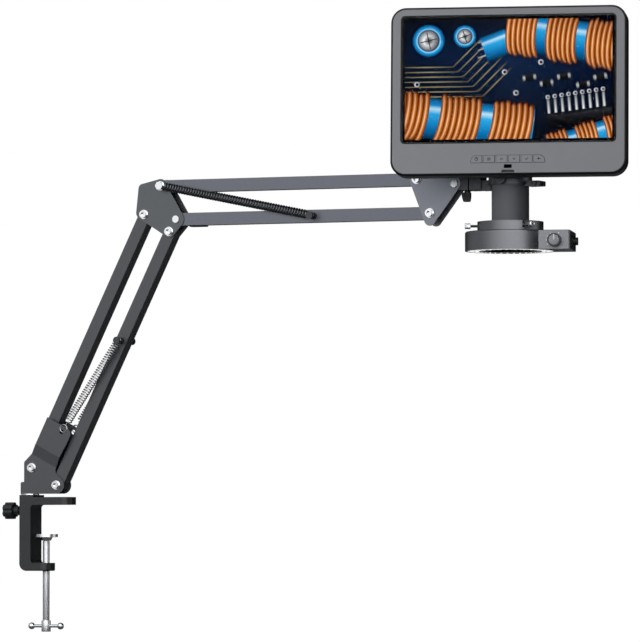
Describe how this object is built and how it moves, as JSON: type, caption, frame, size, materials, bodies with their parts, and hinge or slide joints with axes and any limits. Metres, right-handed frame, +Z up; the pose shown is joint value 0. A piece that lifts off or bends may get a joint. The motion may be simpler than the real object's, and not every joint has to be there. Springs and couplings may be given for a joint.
{
  "type": "lcd digital microscope",
  "caption": "Desk-clamped microscope: a large tilting screen and a camera barrel with a dimmable ring light on a sprung scissor boom arm.",
  "frame": {"origin": "centre of the clamp's upper jaw underside, on the clamp screw's axis", "axes": "+X from the clamp along the arm to the microscope, +Y away from the person facing the screen, +Z up along the clamp screw"},
  "size_m": [0.7467, 0.1397, 0.6556],
  "materials": {
    "black_enamel": "satin powder coat",
    "black_nylon": "moulded",
    "black_abs": "fine moulded texture",
    "dark_abs": "fine moulded texture",
    "grey_abs": "satin moulded",
    "nickel": "bright nickel plate",
    "black_oxide": "black oxide",
    "spring_wire": "drawn wire",
    "dark_spring_wire": "blackened drawn wire",
    "anodised_black": "black anodised",
    "green_board": "solder resist",
    "white_board": "white solder resist",
    "cover_glass": "polished",
    "display_film": "polished",
    "smoked_acrylic": "polished"
  },
  "bodies": {
    "clamp": {"clamp_frame": "black_enamel", "pan_washer": "black_nylon"},
    "lock_knob": {"lock_knob": "black_abs"},
    "pad": {"clamp_pad": "nickel"},
    "screw": {"clamp_screw": "nickel"},
    "tommy": {"tommy_bar": "nickel"},
    "base": {"pan_block": "black_enamel", "base_plate_rear": "black_enamel", "base_plate_front": "black_enamel", "base_bolts": "nickel"},
    "lower_rear": {"lower_bar_rear": "black_enamel"},
    "lower_front": {"lower_bar_front": "black_enamel", "lower_spring_pin": "black_oxide"},
    "lower_spring": {"lower_springs": "spring_wire"},
    "lower_hook": {"lower_spring_hooks": "nickel"},
    "elbow": {"elbow_plate_rear": "black_enamel", "elbow_plate_front": "black_enamel", "elbow_bolts": "nickel", "spring_bolt": "nickel"},
    "upper_top": {"upper_bar_top": "black_enamel"},
    "upper_low": {"upper_bar_low": "black_enamel", "upper_spring_pin": "black_oxide"},
    "upper_spring": {"upper_springs": "dark_spring_wire"},
    "upper_loop": {"upper_spring_loops": "dark_spring_wire"},
    "head": {"head_plate_rear": "black_enamel", "head_plate_front": "black_enamel", "head_bolts": "nickel", "tilt_rivet": "nickel"},
    "tilt": {"tilt_block": "anodised_black"},
    "wing": {"wing_screw": "black_abs"},
    "holder": {"holder_ring": "anodised_black", "holder_screw": "nickel"},
    "ring_knob": {"holder_knob": "anodised_black"},
    "scope": {"barrel": "anodised_black", "camera_head": "anodised_black", "camera_board": "green_board", "screen_yoke": "anodised_black", "screen_pin": "nickel"},
    "focus": {"focus_wheel": "black_abs"},
    "lens": {"lens_cell": "anodised_black"},
    "light": {"light_housing": "black_abs", "control_box": "black_abs", "led_board": "white_board", "thumb_screws": "nickel", "power_socket": "black_nylon"},
    "dimmer": {"dimmer_knob": "black_abs"},
    "screen": {"front_bezel": "grey_abs", "rear_cover": "dark_abs", "screen_glass": "cover_glass", "lcd_panel": "display_film", "main_board": "green_board", "screen_knuckle": "anodised_black", "cover_screws": "black_oxide", "ir_window": "smoked_acrylic"},
    "key_power": {"key_power": "grey_abs"},
    "key_menu": {"key_menu": "grey_abs"},
    "key_up": {"key_up": "grey_abs"},
    "key_down": {"key_down": "grey_abs"},
    "key_enter": {"key_enter": "grey_abs"},
    "key_back": {"key_back": "grey_abs"}
  },
  "joints": [
    {"name": "pad_travel", "type": "slide", "parent": "clamp", "child": "pad", "axis": [0, 0, 1], "range_m": [-0.022, 0.03]},
    {"name": "screw_turn", "type": "hinge", "parent": "pad", "child": "screw", "pos_m": [0, 0, -0.08], "axis": [0, 0, 1], "range_deg": [-6356, 8660]},
    {"name": "tommy_slide", "type": "slide", "parent": "screw", "child": "tommy", "axis": [1, 0, 0], "range_m": [-0.009, 0.009]},
    {"name": "lock_turn", "type": "hinge", "parent": "clamp", "child": "lock_knob", "pos_m": [-0.04, 0, -0.0062], "axis": [1, 0, 0], "range_deg": [-360, 0]},
    {"name": "base_pan", "type": "hinge", "parent": "clamp", "child": "base", "pos_m": [-0.0203, 0, 0], "axis": [0, 0, 1], "continuous": true},
    {"name": "lower_arm", "type": "hinge", "parent": "base", "child": "lower_rear", "pos_m": [-0.0136, 0, 0.0408], "axis": [0, 1, 0], "range_deg": [-20, 30]},
    {"name": "lower_link", "type": "hinge", "parent": "base", "child": "lower_front", "pos_m": [0.0171, 0, 0.0215], "axis": [0, 1, 0], "range_deg": [-21, 31]},
    {"name": "elbow_level", "type": "hinge", "parent": "lower_rear", "child": "elbow", "pos_m": [0.1253, 0, 0.31458], "axis": [0, 1, 0], "range_deg": [-31, 21]},
    {"name": "lower_spring_swivel", "type": "hinge", "parent": "lower_front", "child": "lower_spring", "pos_m": [0.0965, 0, 0.17801], "axis": [0, 1, 0], "range_deg": [-30, 30]},
    {"name": "lower_spring_stretch", "type": "slide", "parent": "lower_spring", "child": "lower_hook", "axis": [-0.5802, 0, -0.8145], "range_m": [-0.02, 0.06], "deforming": ["lower_springs", "lower_spring_hooks"]},
    {"name": "upper_arm", "type": "hinge", "parent": "elbow", "child": "upper_top", "pos_m": [0.1491, 0, 0.34448], "axis": [0, 1, 0], "range_deg": [-40, 30]},
    {"name": "upper_link", "type": "hinge", "parent": "elbow", "child": "upper_low", "pos_m": [0.1644, 0, 0.30828], "axis": [0, 1, 0], "range_deg": [-41, 31]},
    {"name": "head_level", "type": "hinge", "parent": "upper_top", "child": "head", "pos_m": [0.45209, 0, 0.34263], "axis": [0, 1, 0], "range_deg": [-31, 41]},
    {"name": "upper_spring_swivel", "type": "hinge", "parent": "upper_low", "child": "upper_spring", "pos_m": [0.32979, 0, 0.30727], "axis": [0, 1, 0], "range_deg": [-30, 30]},
    {"name": "upper_spring_stretch", "type": "slide", "parent": "upper_spring", "child": "upper_loop", "axis": [-0.9794, 0, 0.2017], "range_m": [-0.05, 0.05], "deforming": ["upper_springs", "upper_spring_loops"]},
    {"name": "head_tilt", "type": "hinge", "parent": "head", "child": "tilt", "pos_m": [0.49589, 0, 0.33663], "axis": [0, 1, 0], "range_deg": [-30, 35]},
    {"name": "wing_turn", "type": "hinge", "parent": "tilt", "child": "wing", "pos_m": [0.50729, 0, 0.32263], "axis": [0, 0, 1], "range_deg": [0, 360]},
    {"name": "holder_swivel", "type": "hinge", "parent": "tilt", "child": "holder", "pos_m": [0.51589, 0, 0.33663], "axis": [1, 0, 0], "range_deg": [-25, 30]},
    {"name": "ring_knob_turn", "type": "hinge", "parent": "holder", "child": "ring_knob", "pos_m": [0.5568, -0.026, 0.3396], "axis": [0, -1, 0], "range_deg": [0, 720]},
    {"name": "scope_turn", "type": "hinge", "parent": "holder", "child": "scope", "pos_m": [0.5568, 0, 0.34], "axis": [0, 0, 1], "range_deg": [-10, 140]},
    {"name": "focus_turn", "type": "hinge", "parent": "scope", "child": "focus", "pos_m": [0.5568, 0, 0.357], "axis": [0, 0, 1], "range_deg": [-150, 150]},
    {"name": "lens_travel", "type": "slide", "parent": "scope", "child": "lens", "axis": [0, 0, 1], "range_m": [-0.0125, 0.0125]},
    {"name": "light_turn", "type": "hinge", "parent": "scope", "child": "light", "pos_m": [0.5568, 0, 0.29], "axis": [0, 0, 1], "continuous": true},
    {"name": "dimmer_turn", "type": "hinge", "parent": "light", "child": "dimmer", "pos_m": [0.6161, -0.02115, 0.2735], "axis": [-0.3007, 0.9537, 0], "range_deg": [-140, 140]},
    {"name": "screen_tilt", "type": "hinge", "parent": "scope", "child": "screen", "pos_m": [0.56101, -0.01335, 0.418], "axis": [-0.9537, -0.3007, 0], "range_deg": [-2, 60]},
    {"name": "press_power", "type": "slide", "parent": "screen", "child": "key_power", "axis": [-0.3003, 0.9524, -0.0523], "range_m": [0, 0.0009], "stiffness_N_per_m": 400, "springref_m": -0.0006},
    {"name": "press_menu", "type": "slide", "parent": "screen", "child": "key_menu", "axis": [-0.3003, 0.9524, -0.0523], "range_m": [0, 0.0009], "stiffness_N_per_m": 400, "springref_m": -0.0006},
    {"name": "press_up", "type": "slide", "parent": "screen", "child": "key_up", "axis": [-0.3003, 0.9524, -0.0523], "range_m": [0, 0.0009], "stiffness_N_per_m": 400, "springref_m": -0.0006},
    {"name": "press_down", "type": "slide", "parent": "screen", "child": "key_down", "axis": [-0.3003, 0.9524, -0.0523], "range_m": [0, 0.0009], "stiffness_N_per_m": 400, "springref_m": -0.0006},
    {"name": "press_enter", "type": "slide", "parent": "screen", "child": "key_enter", "axis": [-0.3003, 0.9524, -0.0523], "range_m": [0, 0.0009], "stiffness_N_per_m": 400, "springref_m": -0.0006},
    {"name": "press_back", "type": "slide", "parent": "screen", "child": "key_back", "axis": [-0.3003, 0.9524, -0.0523], "range_m": [0, 0.0009], "stiffness_N_per_m": 400, "springref_m": -0.0006}
  ],
  "couplings": [
    {"joint": "screw_turn", "follows": "pad_travel", "rad_per_m": 5026.5},
    {"joint": "lower_link", "follows": "lower_arm", "ratio": 1},
    {"joint": "elbow_level", "follows": "lower_arm", "ratio": -1},
    {"joint": "lower_spring_swivel", "follows": "lower_arm", "ratio": 0.37},
    {"joint": "lower_spring_stretch", "follows": "lower_arm", "m_per_rad": 0.029794},
    {"joint": "upper_link", "follows": "upper_arm", "ratio": 1},
    {"joint": "head_level", "follows": "upper_arm", "ratio": -1},
    {"joint": "upper_spring_swivel", "follows": "upper_arm", "ratio": -0.1},
    {"joint": "upper_spring_stretch", "follows": "upper_arm", "m_per_rad": 0.032659},
    {"joint": "lens_travel", "follows": "focus_turn", "m_per_rad": 0.004584}
  ]
}
